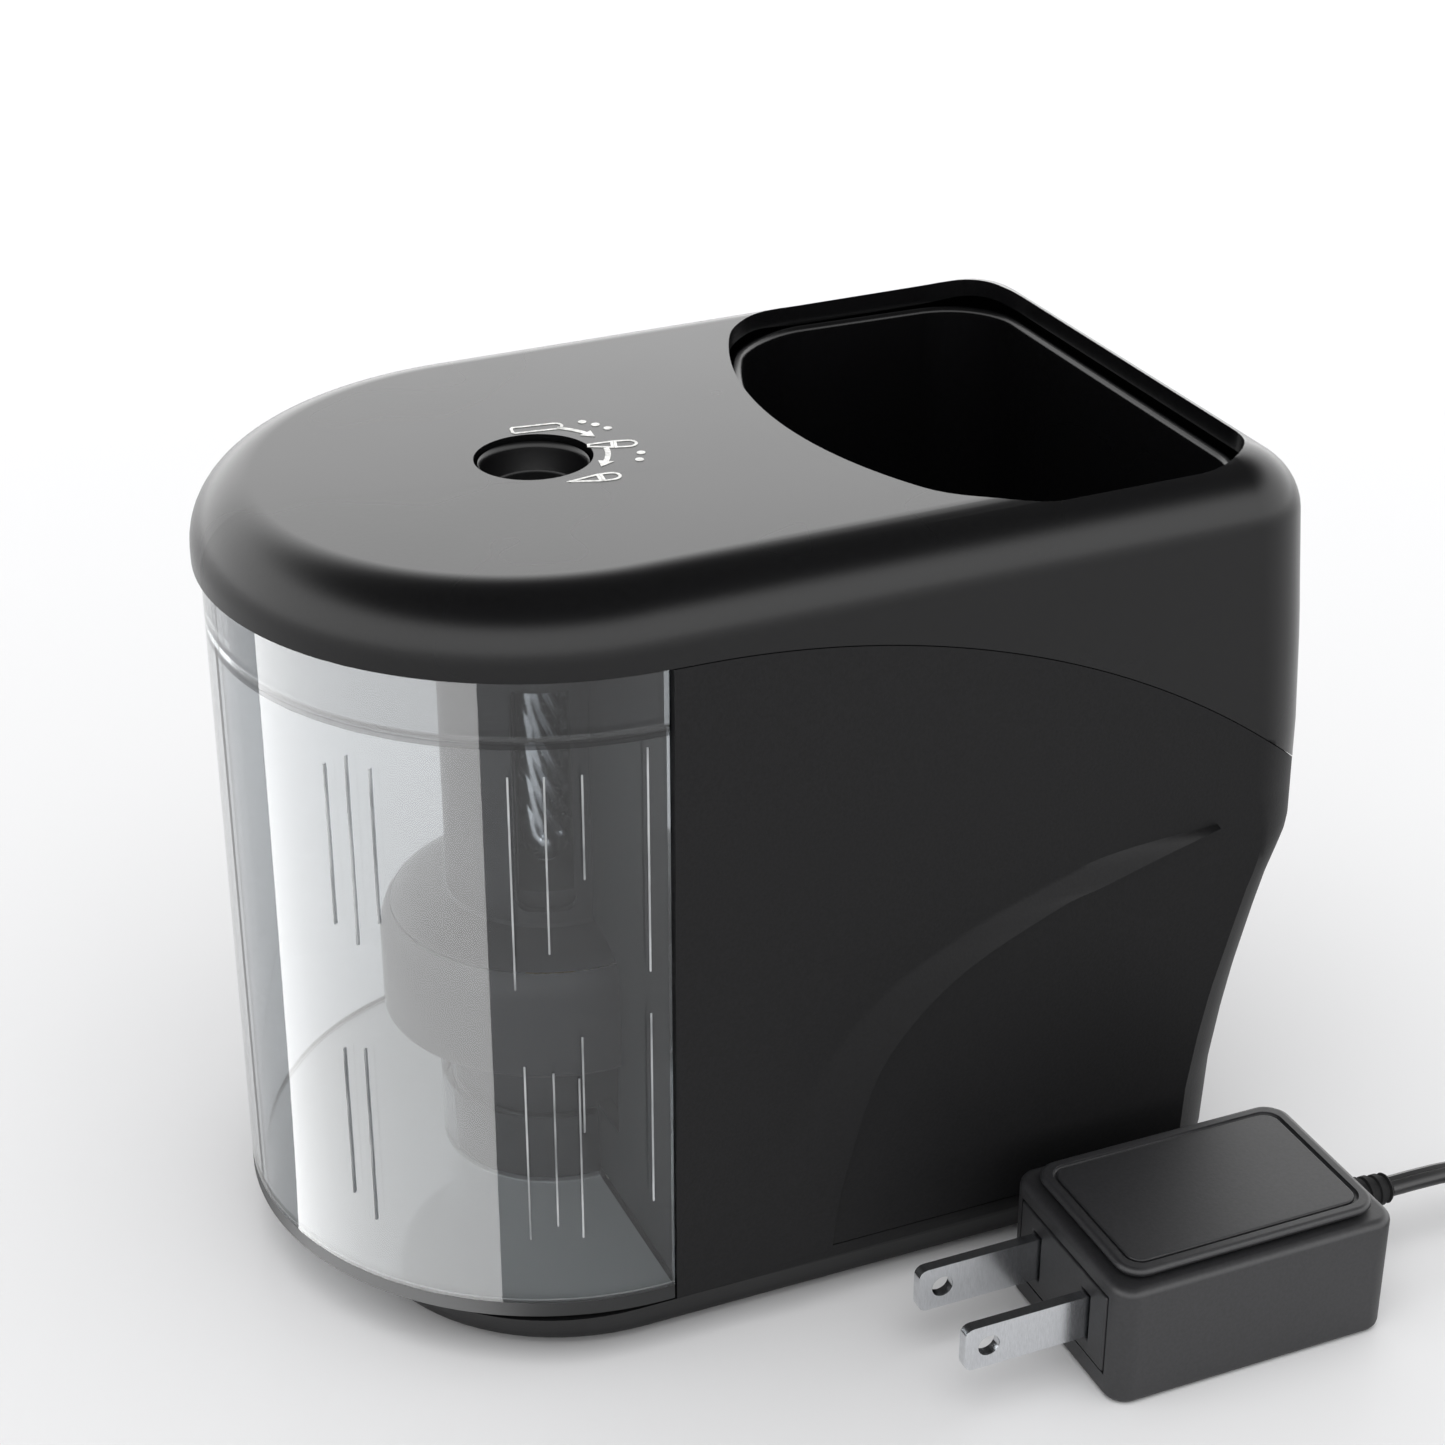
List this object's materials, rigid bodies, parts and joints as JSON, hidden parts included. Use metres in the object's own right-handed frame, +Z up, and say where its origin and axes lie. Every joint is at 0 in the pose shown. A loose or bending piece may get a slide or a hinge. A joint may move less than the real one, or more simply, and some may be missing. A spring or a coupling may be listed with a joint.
{
  "type": "electric pencil sharpener",
  "caption": "Electric pencil sharpener with a top inlet, a clear pull-out shavings bin, a helical cutter on a turning carrier, a pencil cup and a plug-in power adapter.",
  "frame": {"origin": "middle of the sharpener's footprint box, on the surface it stands on, without the adapter and its cord", "axes": "+X along the sharpener from the clear bin to the pencil cup, +Z up, -Y the side where the adapter lies"},
  "size_m": [0.2155, 0.1669, 0.1098],
  "materials": {
    "gloss_black": "black ABS with a soft gloss",
    "satin_black": "black ABS, finely spark-textured",
    "dark_plastic": "charcoal moulded ABS",
    "clear_plastic": "clear, slightly smoky polystyrene",
    "rubber_black": "soft black rubber",
    "cord_black": "black PVC twin lead",
    "bright_steel": "bright ground or plated steel",
    "zinc_steel": "zinc-plated steel",
    "brass": "plain machined brass",
    "white_plastic": "natural white acetal",
    "board_green": "green circuit board"
  },
  "bodies": {
    "housing": {"adapter_blade_1": "bright_steel", "adapter_blade_2": "bright_steel", "adapter_board": "board_green", "adapter_case": "satin_black", "adapter_face": "satin_black", "adapter_lid": "satin_black", "adapter_relief": "rubber_black", "base_cover": "satin_black", "bin_switch": "dark_plastic", "body_shell": "satin_black", "carrier_bush": "brass", "case_screw_1": "zinc_steel", "case_screw_2": "zinc_steel", "case_screw_3": "zinc_steel", "case_screw_4": "zinc_steel", "chassis": "dark_plastic", "control_board": "board_green", "cord_coil": "cord_black", "cord_end": "cord_black", "countershaft": "bright_steel", "dc_jack": "dark_plastic", "foot_1": "rubber_black", "foot_2": "rubber_black", "foot_3": "rubber_black", "foot_4": "rubber_black", "gearbox_plate": "zinc_steel", "inlet_bush": "gloss_black", "lever_bracket": "dark_plastic", "lever_pin": "bright_steel", "motor_can": "zinc_steel", "motor_end_cap": "white_plastic", "motor_shroud": "dark_plastic", "pencil_cup": "gloss_black", "plug_barrel": "bright_steel", "plug_body": "satin_black", "plug_relief": "rubber_black", "power_cord": "cord_black", "ring_gear": "brass", "start_switch": "dark_plastic", "top_cap": "gloss_black"},
    "bin": {"shavings_bin": "clear_plastic"},
    "cutter_head": {"carrier": "dark_plastic", "output_gear": "white_plastic"},
    "cutter": {"helical_cutter": "bright_steel", "cutter_shaft": "zinc_steel", "planet_gear": "brass"},
    "idler": {"compound_gear": "white_plastic"},
    "rotor": {"motor_shaft": "bright_steel", "motor_pinion": "brass"},
    "bin_plunger": {"bin_switch_plunger": "white_plastic"},
    "lever": {"start_lever": "white_plastic"}
  },
  "joints": [
    {"name": "bin_slide", "type": "slide", "parent": "housing", "child": "bin", "axis": [-1, 0, 0], "range_m": [0, 0.06]},
    {"name": "head_turn", "type": "hinge", "parent": "housing", "child": "cutter_head", "pos_m": [-0.0248, 0, 0.06], "axis": [0, 0, 1], "continuous": true},
    {"name": "cutter_spin", "type": "hinge", "parent": "cutter_head", "child": "cutter", "pos_m": [-0.02603, -0.00338, 0.056], "axis": [-0.0436, -0.1198, 0.9918], "continuous": true},
    {"name": "idler_turn", "type": "hinge", "parent": "housing", "child": "idler", "pos_m": [-0.014, 0, 0.04], "axis": [0, 0, 1], "continuous": true},
    {"name": "rotor_turn", "type": "hinge", "parent": "housing", "child": "rotor", "pos_m": [-0.0248, 0, 0.02], "axis": [0, 0, 1], "continuous": true},
    {"name": "bin_plunger_press", "type": "slide", "parent": "housing", "child": "bin_plunger", "axis": [1, 0, 0], "range_m": [0, 0.0012], "stiffness_N_per_m": 120, "springref_m": -0.003},
    {"name": "lever_swing", "type": "hinge", "parent": "housing", "child": "lever", "pos_m": [-0.0068, 0.009, 0.0963], "axis": [0, 0, 1], "range_deg": [0, 9], "stiffness_Nm_per_rad": 0.004, "springref_deg": -11.46}
  ],
  "couplings": [
    {"joint": "cutter_spin", "follows": "head_turn", "ratio": -3.5},
    {"joint": "idler_turn", "follows": "head_turn", "ratio": -2},
    {"joint": "rotor_turn", "follows": "head_turn", "ratio": 5.2}
  ]
}
